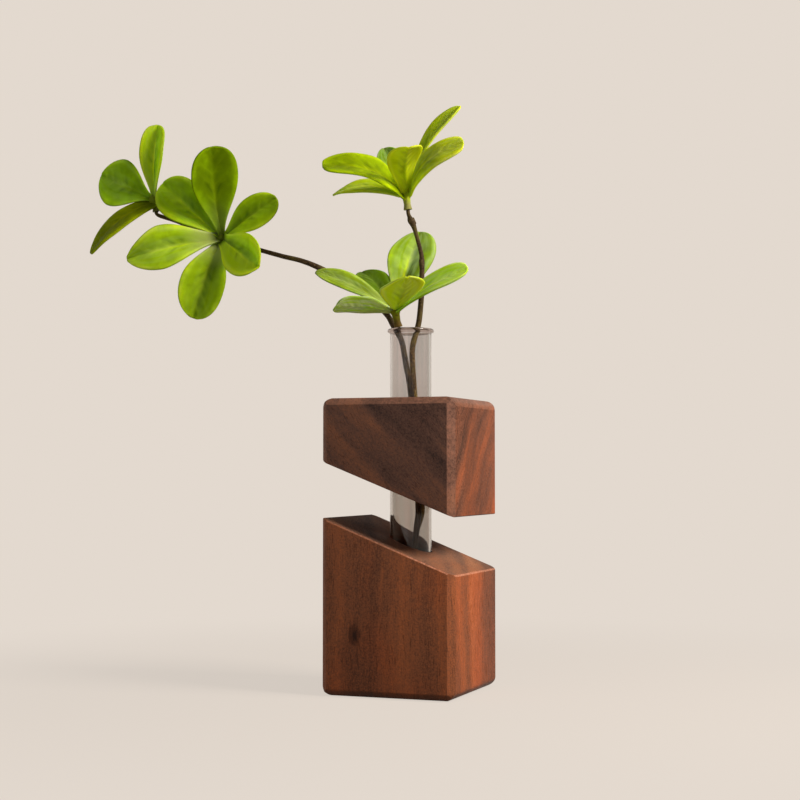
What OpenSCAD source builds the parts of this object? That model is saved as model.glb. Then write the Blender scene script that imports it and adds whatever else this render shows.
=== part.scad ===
// Wall vase. A square walnut block is cut through at a slant, and a glass tube
// stands in its lower half and carries the upper half clear above it, so that
// the upper half seems to float. An artificial leafy spray stands in the tube.
// Millimetres, +Z up, front towards -Y, wall side towards +Y, and the origin at
// the middle of the base. The cut falls from the -X side to the +X side.

/* [Wood block] */
// Width of the block across its front
block_w = 66; // [58:1:90]
// Depth of the block from front to wall side
block_d = 66; // [58:1:90]
// Bevel along the outer edges of the block
edge_bevel = 3.2; // [1:0.2:5]
// Small bevel along the edges of the two sawn faces
saw_bevel = 0.6; // [0.3:0.1:1.2]
// Height of the lower half at its low side
low_side_h = 57; // [50:1:80]
// How far the slanted cut climbs across the width
cut_rise = 26; // [14:1:32]
// Thickness of the upper half at its thin side
thin_side_h = 29.6; // [27:0.2:50]
// Wood left under the blind bore of the lower half
floor_wood = 20; // [12:1:28]
// Height left between the halves when the upper one is turned half round
turn_gap = 0.4; // [0.3:0.1:3]

/* [Keyhole slots] */
// Diameter of the round entry that takes a screw head
key_entry_d = 9.5; // [8:0.1:10]
// Width of the narrow slot that takes the screw shank
key_slot_w = 4.6; // [4:0.1:5.5]
// Travel from the entry to the upper end of the slot
key_run = 11; // [8:0.5:13]
// Thickness of the wood lip that the screw head hooks behind
key_lip = 3.5; // [2.5:0.1:5]
// Full depth of the slot
key_depth = 9.5; // [8:0.1:10.5]

/* [Glass tube] */
// Outer diameter of the tube
tube_d = 20; // [17:0.5:24]
// Thickness of the glass
glass_wall = 1.2; // [0.8:0.1:1.6]
// Length of the tube from its round bottom to its mouth
tube_l = 150; // [135:1:180]
// Thickness of the rolled bead round the mouth
lip_bead = 2.4; // [1.6:0.1:3]
// Radial clearance between the tube and the bores in the wood
bore_gap = 0.4; // [0.3:0.05:0.8]

/* [Rings and cushion] */
// Height of a silicone grip ring
ring_h = 2.6; // [2:0.1:3.5]
// How deep a grip ring sits in the wood beyond the bore
ring_sink = 1.8; // [1.2:0.1:2.5]
// Radial clearance between a grip ring and the glass
ring_fit = 0.1; // [0.05:0.05:0.3]
// Clearance round a ring in its groove
groove_gap = 0.2; // [0.1:0.05:0.4]
// Wood left between a groove and the nearest face of the block
groove_cover = 3.6; // [2:0.1:6]
// Thickness of the cushion under the middle of the tube
cushion_web = 3; // [2:0.1:5]
// Height of the cushion at its rim
cushion_h = 6; // [5.5:0.1:8]
// Gap at which loose pieces seat on each other
seat_gap = 0.3; // [0.2:0.05:0.5]

/* [Spray] */
// Turn of the spray about the tube, in degrees
spray_turn = 21; // [0:1:45]
// Height of the top rosette above the mouth of the tube
spray_rise = 65.5; // [60:0.5:80]
// Reach of the spray to the left of the tube
spray_reach = 126; // [115:0.5:150]
// Diameter of a stem where it is thickest
stem_d = 2.7; // [2:0.1:2.9]
// Length of the sleeve that joins a rosette to its stem
sleeve_l = 7.7; // [7:0.1:10]
// Diameter of a sleeve at its mouth
sleeve_d = 4.2; // [4:0.1:5]
// Diameter of the round crown that the leaves grow from
crown_d = 5; // [4.6:0.1:6]
// Reach of an average leaf from the middle of its crown
leaf_l = 44; // [38:1:50]
// Width of an average leaf
leaf_w = 21; // [16:0.5:22]
// Thickness of a leaf along its midrib
leaf_t = 1.1; // [0.8:0.1:1.3]

/* [Hidden] */
$fn = 96;

walnut = [0.43, 0.27, 0.18];
clear_glass = [0.75, 0.74, 0.72, 0.4];
silicone = [0.85, 0.85, 0.82];
bark = [0.25, 0.16, 0.10];
pale_plastic = [0.62, 0.55, 0.32];
leaf_green = [0.45, 0.58, 0.12];

// Heights of the cut, of the underside of the upper half and of its top, at the tube
overrun = block_w;
cut_slope = cut_rise / block_w;
cut_angle = atan(cut_slope);
cut_mid_z = low_side_h + cut_rise / 2;
float_gap = cut_rise + turn_gap;
under_mid_z = cut_mid_z + float_gap;
block_top_z = low_side_h + cut_rise + float_gap + thin_side_h;

// The tube and the bores that it passes through
tube_r = tube_d / 2;
tube_in_r = tube_r - glass_wall;
bore_r = tube_r + bore_gap;
cushion_r = bore_r - groove_gap;
tube_bottom_z = floor_wood + cushion_web + seat_gap;
mouth_z = tube_bottom_z + tube_l;
tube_floor_z = tube_bottom_z + glass_wall;

// Grip rings and their grooves
ring_out_r = bore_r + ring_sink - groove_gap;
groove_r = bore_r + ring_sink;
groove_h = ring_h + 2 * groove_gap;
groove_shift = groove_r * cut_slope;
lower_groove_z = cut_mid_z - groove_shift - groove_cover - groove_h;
under_groove_z = under_mid_z + groove_shift + groove_cover;
top_groove_z = block_top_z - groove_cover - groove_h;

// Keyholes: each entry stands at a share of its own half's height behind the tube
lower_key_share = 0.58;
upper_key_share = 0.34;
lower_key_z = cut_mid_z * lower_key_share;
upper_key_z = under_mid_z + (block_top_z - under_mid_z) * upper_key_share;

// Stems run in three lanes, one behind the other, inside the tube
stem_r = stem_d / 2;
lane_pitch = stem_d + seat_gap + bore_gap / 4;
stem_free_r = tube_in_r - stem_r - seat_gap;
inner_h = mouth_z - tube_floor_z;

// Each row: place to the right and place up inside the tube, as shares of the
// free half width of the lane and of the inside height, then the stem's thickness
top_stem_inner_shares = [
    [0.17, 0.16, 1], [0.30, 0.30, 1], [0.38, 0.33, 1], [0.53, 0.36, 1], [0.78, 0.39, 1],
    [0.88, 0.43, 1], [0.66, 0.61, 1], [0.30, 0.785, 1], [0.17, 0.87, 1],
    [0.12, 0.91, 1], [0.14, 0.945, 1], [0.37, 0.982, 1]];
low_stem_inner_shares = [
    [0.16, 0.16, 1], [0.28, 0.30, 1], [0.35, 0.33, 1], [0.42, 0.36, 1], [0.52, 0.39, 1],
    [0.55, 0.43, 1], [0.32, 0.61, 1], [0.02, 0.785, 1], [-0.14, 0.835, 1],
    [-0.33, 0.882, 0.97], [-0.53, 0.931, 0.9]];
left_stem_inner_shares = [
    [0.16, 0.16, 1], [0.28, 0.30, 1], [0.35, 0.33, 1], [0.42, 0.36, 1], [0.52, 0.39, 1],
    [0.50, 0.43, 1], [0.30, 0.61, 1], [0.04, 0.785, 1], [-0.12, 0.835, 1],
    [-0.32, 0.882, 1], [-0.48, 0.931, 1], [-0.66, 0.968, 1]];

// Each row: place to the right, away from the viewer and up, as shares of the
// spray's reach, reach and rise above the mouth, then the stem's thickness
top_stem_outer_shares = [
    [0.033, 0.024, 0.067, 1], [0.042, 0.028, 0.26, 0.98], [0.042, 0.03, 0.353, 0.93],
    [0.045, 0.028, 0.487, 0.82], [0.039, 0.022, 0.579, 0.76], [0.0215, 0.014, 0.70, 0.68],
    [0.0075, 0.008, 0.79, 0.96]];
left_stem_outer_shares = [
    [-0.072, 0.014, 0.042, 1], [-0.10, 0.026, 0.131, 0.98], [-0.216, 0.048, 0.311, 0.94],
    [-0.34, 0.056, 0.454, 1], [-0.43, 0.064, 0.524, 0.86], [-0.489, 0.072, 0.55, 0.83],
    [-0.586, 0.084, 0.605, 0.8], [-0.736, 0.11, 0.686, 0.76], [-0.904, 0.11, 0.822, 0.66]];

// Crowns of the rosettes, in the same shares, and the way each sleeve points:
// its turn in the picture plane and its lean towards the viewer, in degrees
top_crown_shares = [-0.018, 0, 1];
low_crown_shares = [-0.06, -0.022, 0.125];
left_crown_shares = [-0.73, 0.048, 0.678];
far_crown_shares = [-1, 0.096, 0.985];
top_crown_aim = [97, 0];
low_crown_aim = [102, 2];
left_crown_aim = [170, 82];
far_crown_aim = [104, 0];
low_sleeve_share = 1;
far_sleeve_share = 0.75;
tip_share = 0.66;

// Places along a leaf where its outline is cut, and how its half width grows from the foot
// to its widest place and shrinks again round the tip
leaf_place_shares = [0, 0.08, 0.18, 0.3, 0.43, 0.55, 0.66, 0.76, 0.85, 0.92, 0.97, 1];
leaf_foot_share = 0.12;
leaf_end_share = 0.1;
leaf_swell_power = 0.9;
leaf_round_power = 0.81;
leaf_blunt_power = 0.7;
leaf_section_shares = [-1, -0.5, 0, 0.5, 1];
leaf_back_shares = [0.5, 0, -0.5];
leaf_fold_power = 1.4;
leaf_thinning_share = 0.4;

// Each leaf: turn in the picture plane and lean towards the viewer in degrees,
// length, width and arch as shares, roll, cupping and twist in degrees, then the
// share of its length where it is widest and how blunt its tip is (2 is round).
// A roll of 90 shows the upper face to the viewer, 0 or 180 shows the edge.
top_leaf_shares = [
    [168, 31, 1.06, 0.97, 0.15, 137, 11, 31, 0.45, 4],
    [178.5, -15, 0.84, 0.66, 0.13, 142, 7, 18, 0.61, 1.9],
    [85.5, 71, 1.01, 0.83, 0.08, -64, 15, -27, 0.68, 1.9],
    [113.5, -27, 0.69, 0.62, 0.06, 92, 19, 14, 0.69, 1.6],
    [59.5, -11, 1.21, 0.66, 0.08, 27, 15, 20, 0.67, 2.4],
    [38, 26, 0.88, 0.87, 0.16, 38, 4, -9, 0.56, 4.4]];
low_leaf_shares = [
    [153.5, 4, 0.97, 0.74, 0.05, 145, 13, -41, 0.55, 1.5],
    [178.5, 32, 0.75, 0.66, 0.04, 210, 10, -1, 0.56, 3.7],
    [128, -34, 0.73, 0.78, 0.08, 124, 15, -4, 0.67, 1.8],
    [73.5, -35, 1.24, 1.13, 0.04, 75, 4, -15, 0.68, 1.9],
    [65, 70, 0.9, 1.04, -0.01, -54, 12, 0, 0.66, 1.3],
    [28, 20, 0.95, 0.88, 0.06, 30, 12, 6, 0.6, 3.2]];
left_leaf_shares = [
    [94.5, 21, 1.03, 1.16, -0.1, 111, 15, 22, 0.68, 2.5],
    [137, -1, 0.91, 1.05, -0.01, 102, 14, -39, 0.7, 2.2],
    [194, 12, 1.07, 1.02, 0.08, 100, 30, -50, 0.64, 1.5],
    [253, 16, 0.99, 1.05, 0.13, 94, 17, -18, 0.63, 2.4],
    [320, 48, 0.92, 0.99, 0.01, 99, 23, 4, 0.66, 2.4],
    [34.5, 18, 0.79, 0.75, 0.06, 88, 21, 30, 0.63, 2.3]];
far_leaf_shares = [
    [85, 14, 0.83, 0.62, 0.06, 69, 33, 8, 0.62, 3.2],
    [155, 1, 0.65, 1.16, 0.05, 89, 9, -22, 0.67, 1.7],
    [224, 13, 0.94, 0.77, 0.1, 137, 4, 35, 0.57, 1.8]];

// Half width of a leaf at a place along it, as a share of its greatest half width
function leaf_outline(t, widest, blunt) = t < widest
    ? leaf_foot_share + (1 - leaf_foot_share)
        * (1 - cos(180 * pow(t / widest, leaf_swell_power))) / 2
    : max(leaf_end_share, pow(1 - pow((t - widest) / (1 - widest), blunt),
                              leaf_round_power / pow(blunt, leaf_blunt_power)));

// Unit vector for a turn in the picture plane and a lean towards the viewer
function aim(turn_lean) = [cos(turn_lean[1]) * cos(turn_lean[0]), -sin(turn_lean[1]),
                           cos(turn_lean[1]) * sin(turn_lean[0])];
function unit(v) = v / norm(v);

// A place in the spray above the mouth, from its shares
function spray_place(shares) = [shares[0] * spray_reach, shares[1] * spray_reach,
                                mouth_z + shares[2] * spray_rise];
// A place in a lane inside the tube, from its shares
function lane_place(shares, lane) =
    [shares[0] * sqrt(pow(stem_free_r, 2) - pow(lane * lane_pitch, 2)), lane * lane_pitch,
     tube_floor_z + shares[1] * inner_h];
// The foot of a stem stands just clear of the tube's round floor
function lane_foot(lane) =
    [0, lane * lane_pitch, tube_bottom_z + tube_r + seat_gap
        - sqrt(pow(tube_in_r, 2) - pow(abs(lane) * lane_pitch + stem_r, 2))];

// Points on a smooth curve through the route's own points
function curve_point(a, b, c, d, t) = 0.5 * (2 * b + (c - a) * t
    + (2 * a - 5 * b + 4 * c - d) * t * t + (3 * b - a - 3 * c + d) * t * t * t);
function smooth_route(route, steps) = [
    for (i = [0:len(route) - 2]) for (k = [0:steps - 1])
        curve_point(route[max(i - 1, 0)], route[i], route[i + 1],
                    route[min(i + 2, len(route) - 1)], k / steps),
    route[len(route) - 1]];

// Closed solid through a row of rings that all have the same number of points
module skin(rings) {
    n = len(rings[0]);
    last = len(rings) - 1;
    polyhedron(
        points = [for (ring = rings) each ring],
        faces = concat(
            [for (i = [0:last - 1]) for (k = [0:n - 1])
                each [[i * n + k, i * n + (k + 1) % n, (i + 1) * n + k],
                      [i * n + (k + 1) % n, (i + 1) * n + (k + 1) % n, (i + 1) * n + k]]],
            [for (k = [1:n - 2]) [0, k + 1, k]],
            [for (k = [1:n - 2]) [last * n, last * n + k, last * n + k + 1]]));
}

// Round stem along a route whose rows hold a place and a thickness share
module stem(route) {
    rows = smooth_route(route, 2);
    sides = 8;
    skin([for (i = [0:len(rows) - 1])
        let (at = [rows[i][0], rows[i][1], rows[i][2]],
             ahead = rows[min(i + 1, len(rows) - 1)], behind = rows[max(i - 1, 0)],
             way = unit([ahead[0] - behind[0], ahead[1] - behind[1], ahead[2] - behind[2]]),
             side = unit(cross(way, [0, 1, 0])), out = cross(side, way))
        [for (k = [0:sides - 1]) at + rows[i][3] * stem_r
            * (cos(k * 360 / sides) * side + sin(k * 360 / sides) * out)]]);
}

// Rows of a stem: foot, lane inside the tube, free part, then its end in a sleeve
function lane_rows(shares, lane) = concat(
    [concat(lane_foot(lane), [1])],
    [for (row = shares) concat(lane_place(row, lane), [row[2]])]);
function outer_rows(shares) = [for (row = shares) concat(spray_place(row), [row[3]])];
function sleeve_rows(crown_shares, crown_aim, length_share) =
    [for (back_share = [1.35, 1, 0.5])
        concat(spray_place(crown_shares)
               - aim(crown_aim) * sleeve_l * length_share * back_share, [tip_share])];

// Rosette sleeve with its round crown, and a blind bore where a stem ends in it
module sleeve(crown_shares, crown_aim, length, has_bore) {
    bore_end_share = 0.62;
    waist_share = 0.78;
    translate(spray_place(crown_shares)) rotate([0, -crown_aim[0], 0])
        rotate([0, 0, -crown_aim[1]]) rotate([0, 90, 0]) difference() {
            union() {
                sphere(d = crown_d, $fn = 32);
                rotate_extrude($fn = 32) polygon([
                    [0, 0], [sleeve_d / 2, 0], [sleeve_d / 2 * waist_share, -length * tip_share],
                    [sleeve_d / 2, -length], [0, -length]]);
            }
            if (has_bore) translate([0, 0, -length - seat_gap])
                cylinder(r = stem_r * tip_share + seat_gap / 2,
                         h = length * bore_end_share + seat_gap, $fn = 32);
        }
}

// One leaf as a thin cupped blade, its section a lens with sharp edges
module leaf(row, crown_shares) {
    foot = crown_d / 2 + seat_gap;
    blade_l = row[2] * leaf_l - foot;
    half_w = row[3] * leaf_w / 2;
    arch = row[4] * blade_l;
    translate(spray_place(crown_shares)) rotate([0, -row[0], 0]) rotate([0, 0, -row[1]])
        rotate([row[5], 0, 0]) skin([for (t = leaf_place_shares)
            let (w = half_w * leaf_outline(t, row[8], row[9]), rise = arch * 4 * t * (1 - t),
                 thick = leaf_t / 2 * (1 - leaf_thinning_share * t), turn = row[7] * (t - 0.5))
            [for (face = [1, -1]) for (s = face > 0 ? leaf_section_shares : leaf_back_shares)
                let (across = s * w,
                     up = w * tan(row[6]) * pow(abs(s), leaf_fold_power)
                          + face * thick * (1 - s * s))
                [foot + t * blade_l, across * cos(turn) - up * sin(turn),
                 rise + across * sin(turn) + up * cos(turn)]]]);
}

// Rectangle with bevelled corners, centred
module bevelled_rectangle(width, height, bevel) {
    x = width / 2;
    y = height / 2;
    polygon([[x - bevel, -y], [x, bevel - y], [x, y - bevel], [x - bevel, y],
             [bevel - x, y], [-x, y - bevel], [-x, bevel - y], [bevel - x, -y]]);
}

// The uncut block, bevelled along all its twelve edges
module whole_block() {
    intersection() {
        linear_extrude(block_top_z) bevelled_rectangle(block_w, block_d, edge_bevel);
        translate([0, 0, block_top_z / 2]) rotate([90, 0, 0])
            linear_extrude(block_d, center = true)
                bevelled_rectangle(block_w, block_top_z, edge_bevel);
        translate([0, 0, block_top_z / 2]) rotate([90, 0, 90])
            linear_extrude(block_w, center = true)
                bevelled_rectangle(block_d, block_top_z, edge_bevel);
    }
}

// Space on one side of a sawn face, which is bevelled along its four edges:
// below the face when side is -1, above it when side is 1
module sawn_space(mid_z, side) {
    x = block_w / 2;
    inner_x = x - saw_bevel;
    rotate([90, 0, 0]) linear_extrude(block_d + overrun, center = true)
        polygon([[x, mid_z - x * cut_slope + side * saw_bevel],
                 [inner_x, mid_z - inner_x * cut_slope],
                 [-inner_x, mid_z + inner_x * cut_slope],
                 [-x, mid_z + x * cut_slope + side * saw_bevel],
                 [-x, mid_z + side * block_top_z], [x, mid_z + side * block_top_z]]);
}
module sawn_ridge(mid_z, side) {
    translate([0, 0, mid_z]) rotate([0, cut_angle, 0]) rotate([90, 0, 90])
        translate([0, side * block_top_z / 2]) linear_extrude(block_w + overrun, center = true)
            bevelled_rectangle(block_d, block_top_z, saw_bevel);
}
module half_block(mid_z, side) {
    intersection() {
        whole_block();
        sawn_space(mid_z, side);
        sawn_ridge(mid_z, side);
    }
}

// Keyhole slot in the wall side, with its entry at height z
module keyhole(z) {
    neck_depth = key_lip + overrun;
    translate([0, block_d / 2, z]) rotate([90, 0, 0]) {
        translate([0, 0, -overrun]) cylinder(d = key_entry_d, h = key_depth + overrun);
        translate([-key_slot_w / 2, 0, -overrun]) cube([key_slot_w, key_run, neck_depth]);
        translate([0, key_run, -overrun]) cylinder(d = key_slot_w, h = neck_depth);
        translate([-key_entry_d / 2, 0, key_lip])
            cube([key_entry_d, key_run, key_depth - key_lip]);
        translate([0, key_run, key_lip]) cylinder(d = key_entry_d, h = key_depth - key_lip);
    }
}

module ring_groove(z) {
    translate([0, 0, z]) cylinder(r = groove_r, h = groove_h);
}

module grip_ring(groove_z) {
    translate([0, 0, groove_z + groove_gap]) difference() {
        cylinder(r = ring_out_r, h = ring_h);
        translate([0, 0, -ring_h]) cylinder(r = tube_r + ring_fit, h = 3 * ring_h);
    }
}

module lower_block() {
    color(walnut) difference() {
        half_block(cut_mid_z, -1);
        translate([0, 0, floor_wood]) cylinder(r = bore_r, h = block_top_z);
        ring_groove(lower_groove_z);
        keyhole(lower_key_z);
    }
}

module upper_block() {
    color(walnut) difference() {
        half_block(under_mid_z, 1);
        cylinder(r = bore_r, h = block_top_z + overrun);
        ring_groove(under_groove_z);
        ring_groove(top_groove_z);
        keyhole(upper_key_z);
    }
}

module glass_tube() {
    round_z = tube_bottom_z + tube_r;
    color(clear_glass) rotate_extrude() {
        translate([0, round_z]) intersection() {
            difference() {
                circle(r = tube_r);
                circle(r = tube_in_r);
            }
            translate([0, -tube_r]) square(tube_r);
        }
        translate([tube_in_r, round_z]) square([glass_wall, mouth_z - round_z - lip_bead / 2]);
        translate([tube_in_r + lip_bead / 2, mouth_z - lip_bead / 2]) circle(d = lip_bead, $fn = 32);
    }
}

module tube_cushion() {
    color(silicone) translate([0, 0, floor_wood]) difference() {
        cylinder(r = cushion_r, h = cushion_h);
        translate([0, 0, cushion_web + tube_r + seat_gap]) sphere(r = tube_r + seat_gap);
    }
}

module lower_grip_ring() {
    color(silicone) grip_ring(lower_groove_z);
}
module upper_grip_ring_low() {
    color(silicone) grip_ring(under_groove_z);
}
module upper_grip_ring_high() {
    color(silicone) grip_ring(top_groove_z);
}

module top_stem() {
    color(bark) rotate([0, 0, spray_turn]) stem(concat(lane_rows(top_stem_inner_shares, 1),
        outer_rows(top_stem_outer_shares), sleeve_rows(top_crown_shares, top_crown_aim, 1)));
}
module low_stem() {
    color(bark) rotate([0, 0, spray_turn]) stem(concat(lane_rows(low_stem_inner_shares, -1),
        sleeve_rows(low_crown_shares, low_crown_aim, low_sleeve_share)));
}
module left_stem() {
    color(bark) rotate([0, 0, spray_turn]) stem(concat(lane_rows(left_stem_inner_shares, 0),
        outer_rows(left_stem_outer_shares),
        sleeve_rows(far_crown_shares, far_crown_aim, far_sleeve_share)));
}

module top_sleeve() {
    color(pale_plastic) rotate([0, 0, spray_turn])
        sleeve(top_crown_shares, top_crown_aim, sleeve_l, true);
}
module low_sleeve() {
    color(pale_plastic) rotate([0, 0, spray_turn])
        sleeve(low_crown_shares, low_crown_aim, sleeve_l * low_sleeve_share, true);
}
// The left rosette grows from the side of the left stem, so its sleeve ends at the bark
module left_sleeve() {
    stem_row = left_stem_outer_shares[7];
    length = norm(spray_place(stem_row) - spray_place(left_crown_shares))
        - stem_r * stem_row[3] - seat_gap;
    color(pale_plastic) rotate([0, 0, spray_turn])
        sleeve(left_crown_shares, left_crown_aim, length, false);
}
module far_sleeve() {
    color(pale_plastic) rotate([0, 0, spray_turn])
        sleeve(far_crown_shares, far_crown_aim, sleeve_l * far_sleeve_share, true);
}

module rosette_leaf(row, crown_shares) {
    color(leaf_green) rotate([0, 0, spray_turn]) leaf(row, crown_shares);
}

lower_block();
upper_block();
glass_tube();
tube_cushion();
lower_grip_ring();
upper_grip_ring_low();
upper_grip_ring_high();
top_stem();
low_stem();
left_stem();
top_sleeve();
low_sleeve();
left_sleeve();
far_sleeve();
for (i = [1:6])
    rosette_leaf(top_leaf_shares[i - 1], top_crown_shares);
for (i = [1:6])
    rosette_leaf(low_leaf_shares[i - 1], low_crown_shares);
for (i = [1:6])
    rosette_leaf(left_leaf_shares[i - 1], left_crown_shares);
for (i = [1:3])
    rosette_leaf(far_leaf_shares[i - 1], far_crown_shares);
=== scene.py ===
import math

import bmesh
import bpy
from mathutils import Matrix, Vector, noise


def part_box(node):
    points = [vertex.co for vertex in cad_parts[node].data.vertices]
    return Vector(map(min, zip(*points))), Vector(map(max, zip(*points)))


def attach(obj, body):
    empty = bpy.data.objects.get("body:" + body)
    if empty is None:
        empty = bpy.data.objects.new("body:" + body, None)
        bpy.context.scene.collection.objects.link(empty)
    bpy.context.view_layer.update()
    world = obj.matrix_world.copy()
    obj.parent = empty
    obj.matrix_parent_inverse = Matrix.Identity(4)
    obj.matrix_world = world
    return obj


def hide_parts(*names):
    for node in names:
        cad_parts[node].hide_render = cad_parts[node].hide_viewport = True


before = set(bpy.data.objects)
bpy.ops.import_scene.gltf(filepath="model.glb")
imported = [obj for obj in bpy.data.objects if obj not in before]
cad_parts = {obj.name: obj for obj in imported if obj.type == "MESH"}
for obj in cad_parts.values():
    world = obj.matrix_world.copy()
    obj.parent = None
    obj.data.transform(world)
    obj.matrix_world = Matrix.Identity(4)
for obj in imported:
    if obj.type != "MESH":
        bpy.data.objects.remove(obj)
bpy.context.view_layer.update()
scene = bpy.context.scene
scene.view_settings.view_transform = "Standard"


# Camera: a long lens at about half the height of the vase, turned a little to the right
# and tipped slightly upwards, so that the front and the right side both show.
CAMERA_PLACE = (0.27753, -0.74477, 0.10591)
CAMERA_TURN = math.radians(20.81)
CAMERA_TILT = math.radians(2.378)
SENSOR_WIDTH = 36
LENS_LENGTH = 74.276
NEAREST_SEEN = 0.01
camera_data = bpy.data.cameras.new("camera")
camera_data.sensor_width = SENSOR_WIDTH
camera_data.lens = LENS_LENGTH
camera_data.clip_start = NEAREST_SEEN
camera = bpy.data.objects.new("camera", camera_data)
camera.location = CAMERA_PLACE
camera.rotation_euler = (math.pi / 2 + CAMERA_TILT, 0, CAMERA_TURN)
scene.collection.objects.link(camera)
scene.camera = camera


# Lower block: the thick half of one walnut block, sawn at a slant, bored for the tube and
# routed with a keyhole in its back. Its chamfers and sawn edges are eased by sanding, and
# the grain stands upright, with a small knot low on the left of the front.
EDGE_EASING = 0.00025
SIDE_ROUNDING = 0.0013
SHARP_EDGE = math.radians(24)
FLAT_ENOUGH = math.radians(0.5)
SAWN_BEVEL_WIDTH = 0.0012
CHAMFER_WIDTH = 0.006
LONG_FACE = 10 * SAWN_BEVEL_WIDTH
OUTSIDE_REACH = 0.0300
DEPTHWISE = 0.9
EASED_SAWN_SHARE, EASED_CHAMFER_SHARE = 0.3, 0.7
SAME_PLACE = 1e-6
SLIVER = 1e-5
KNOT_SQUASH = (1.0, 0.35, 0.62)
KNOT_PULL = 0.009
KNOT_HEART = 0.0040
GRAIN_SWAY = (0.011, 0.01, 0.0)
BAND_REACH = 0.044
SWAY_SCALE = 21.0
SPECKLE_SCALE = 1500.0
RED_SHARE = 0.55
SHEEN_GREYING_PER_METRE = -3.0
RUBBED_SCALE = 700
EDGE_LIGHT_AT_LEFT = 0.35
FULL_EDGE_LIGHT_PLACE = 0.012
DUST_STRIP = (-0.0195, -0.0145)
PORE_SHARE = 0.34
CENTIMETRES = 100.0
END_GRAIN_PAINTED_SHEEN = (0.90, 1.28, 1.75)
RED_CLOUD_TINT = (1.12, 0.84, 0.70)
PALE_WEAR_DUST_AND_LIGHT_SHADE = (0.64, 0.28, 0.17)
PORE_SHADE = (0.030, 0.013, 0.009)
KNOT_SHADE = (0.020, 0.009, 0.007)
block_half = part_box("lower_block")[1].x


def new_object(name, shell, smooth=True):
    mesh = bpy.data.meshes.new(name)
    shell.to_mesh(mesh)
    shell.free()
    if smooth:
        mesh.shade_smooth()
    else:
        mesh.shade_flat()
    made = bpy.data.objects.new(name, mesh)
    scene.collection.objects.link(made)
    return made


def merged_copy(cad_node):
    shell = bmesh.new()
    shell.from_mesh(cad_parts[cad_node].data)
    bmesh.ops.remove_doubles(shell, verts=shell.verts, dist=SAME_PLACE)
    return shell


def sharp_edges(shell, angle=SHARP_EDGE):
    return [e for e in shell.edges if len(e.link_faces) == 2 and e.calc_face_angle() > angle]


def bevel_edges(shell, edges, width, segments, clamp=True):
    return bmesh.ops.bevel(shell, geom=edges, offset=width, affect="EDGES", segments=segments,
                           profile=0.5, material=-1, clamp_overlap=clamp)["faces"]


def sanded_block(name, cad_node, sawn_wear_and_light, chamfer_wear_and_light):
    shell = merged_copy(cad_node)
    bmesh.ops.dissolve_limit(shell, angle_limit=FLAT_ENOUGH, verts=shell.verts,
                             edges=shell.edges)
    # Sawn edges and chamfers get a share that is partly real sanding wear and partly a painted
    # highlight where these edges catch the light.
    wear_and_edge_light = shell.faces.layers.float.new("wear_and_edge_light")
    chamfers = []
    for face in shell.faces:
        length = max(e.calc_length() for e in face.edges)
        middle = face.calc_center_median()
        outside = max(abs(middle.x), abs(middle.y)) > OUTSIDE_REACH
        width = face.calc_area() / length
        if outside and length > LONG_FACE and width < CHAMFER_WIDTH:
            face[wear_and_edge_light] = sawn_wear_and_light if width < SAWN_BEVEL_WIDTH else chamfer_wear_and_light
            if width > SAWN_BEVEL_WIDTH:
                chamfers.append(face)
    rounded = []
    for edge in sharp_edges(shell):
        along = (edge.verts[1].co - edge.verts[0].co).normalized()
        if any(face in chamfers for face in edge.link_faces) and abs(along.y) > DEPTHWISE:
            rounded.append(edge)
    for face in bevel_edges(shell, rounded, SIDE_ROUNDING, segments=3):
        face[wear_and_edge_light] = chamfer_wear_and_light
    for face in bevel_edges(shell, sharp_edges(shell), EDGE_EASING, segments=2):
        face[wear_and_edge_light] = EASED_SAWN_SHARE * sawn_wear_and_light + EASED_CHAMFER_SHARE * chamfer_wear_and_light
    bmesh.ops.dissolve_degenerate(shell, dist=SLIVER, edges=shell.edges)
    bmesh.ops.triangulate(shell, faces=[f for f in shell.faces if len(f.verts) > 4])
    made = new_object(name, shell)
    made.data.set_sharp_from_angle(angle=SHARP_EDGE)
    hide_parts(cad_node)
    return made


def set_inputs(tree, node, sockets):
    for socket, value in sockets.items():
        if isinstance(value, bpy.types.NodeSocket):
            tree.links.new(value, node.inputs[socket])
        else:
            node.inputs[socket].default_value = value


def add_node(tree, kind, sockets=None, **settings):
    made = tree.nodes.new(kind)
    for setting, value in settings.items():
        setattr(made, setting, value)
    set_inputs(tree, made, sockets or {})
    return made


def math_node(tree, operation, first, second=0.0):
    return add_node(tree, "ShaderNodeMath", {0: first, 1: second}, operation=operation).outputs[0]


def vector_node(tree, operation, first, second):
    return add_node(tree, "ShaderNodeVectorMath", {0: first, 1: second},
                    operation=operation).outputs[0]


def ramp(tree, factor, stops, ease="EASE"):
    made = add_node(tree, "ShaderNodeValToRGB", {"Fac": factor})
    made.color_ramp.interpolation = ease
    elements = made.color_ramp.elements
    while len(elements) < len(stops):
        elements.new(1.0)
    for element, (place, colour) in zip(elements, stops):
        element.position = place
        shade = colour if isinstance(colour, tuple) else (colour,) * 3
        element.color = (*shade, 1.0)
    return made.outputs["Color"]


def mix_colour(tree, factor, first, second, blend="MIX"):
    sockets = {0: factor, 6: first, 7: second}
    for socket in (6, 7):
        if isinstance(sockets[socket], tuple):
            sockets[socket] = (*sockets[socket], 1.0)
    return add_node(tree, "ShaderNodeMix", sockets, data_type="RGBA",
                    blend_type=blend).outputs[2]


def tinted(tree, share, colour, tint):
    return mix_colour(tree, share, colour, mix_colour(tree, 1.0, colour, tint, "MULTIPLY"))


def varied(tree, tone, pattern, share, centre=0.5):
    return math_node(tree, "ADD", tone, math_node(
        tree, "MULTIPLY", math_node(tree, "SUBTRACT", pattern, centre), share))


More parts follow.
